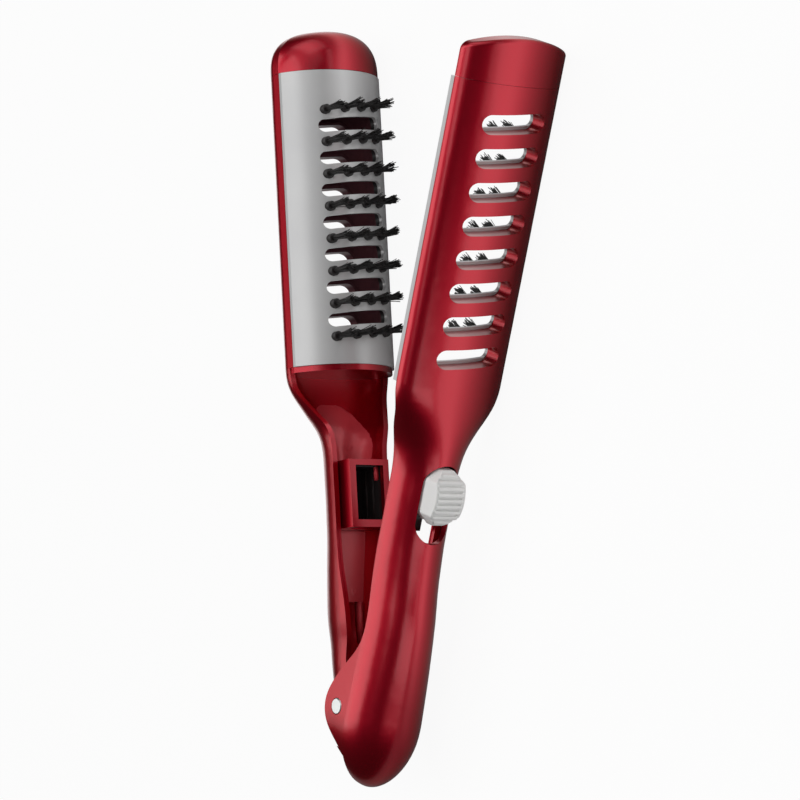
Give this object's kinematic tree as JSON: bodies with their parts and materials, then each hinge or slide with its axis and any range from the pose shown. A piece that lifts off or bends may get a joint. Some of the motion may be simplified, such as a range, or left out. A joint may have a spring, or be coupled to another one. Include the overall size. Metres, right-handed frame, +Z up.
{
  "type": "hinged straightening comb",
  "caption": "Hinged two-arm straightening comb: vented heads with facing bristle rows, a sprung hinge, tip caps and a sliding lock in the handle.",
  "frame": {"origin": "middle of the footprint on the surface the comb lies on, with the comb on its side and open", "axes": "+X from the hinge towards the tips, midway between the arms; +Y towards the base arm; +Z up, along the hinge pin"},
  "size_m": [0.2592, 0.1298, 0.042],
  "materials": {
    "red_shell": "metallic red lacquer look, semi-gloss",
    "grey_plate": "satin light grey",
    "black_bristle": "black, slight sheen",
    "pale_button": "satin pale grey",
    "pin_steel": "bright flat ends",
    "spring_steel": "drawn wire"
  },
  "bodies": {
    "base_arm": {"base_shell": "red_shell", "base_cap": "red_shell", "base_plate": "grey_plate", "base_bristle_carrier": "black_bristle", "catch_insert": "black_bristle", "base_tufts_1": "black_bristle", "base_tufts_2": "black_bristle", "base_tufts_3": "black_bristle", "base_tufts_4": "black_bristle", "base_tufts_5": "black_bristle", "base_tufts_6": "black_bristle", "base_tufts_7": "black_bristle", "base_tufts_8": "black_bristle", "torsion_spring": "spring_steel"},
    "cover_arm": {"cover_shell": "red_shell", "cover_cap": "red_shell", "cover_plate": "grey_plate", "cover_bristle_carrier": "black_bristle", "hinge_pin": "pin_steel", "cover_tufts_1": "black_bristle", "cover_tufts_2": "black_bristle", "cover_tufts_3": "black_bristle", "cover_tufts_4": "black_bristle", "cover_tufts_5": "black_bristle", "cover_tufts_6": "black_bristle", "cover_tufts_7": "black_bristle"},
    "lock_slide": {"lock_button": "pale_button", "lock_slider": "pale_button"}
  },
  "joints": [
    {"name": "cover_hinge", "type": "hinge", "parent": "base_arm", "child": "cover_arm", "pos_m": [-0.10189, 0.001, 0.021], "axis": [0, 0, 1], "range_deg": [0, 23.4], "stiffness_Nm_per_rad": 0.25, "springref_deg": -20.05, "deforming": ["torsion_spring"]},
    {"name": "lock_slide", "type": "slide", "parent": "cover_arm", "child": "lock_slide", "axis": [-0.9792, 0.2028, 0], "range_m": [0, 0.006]}
  ]
}
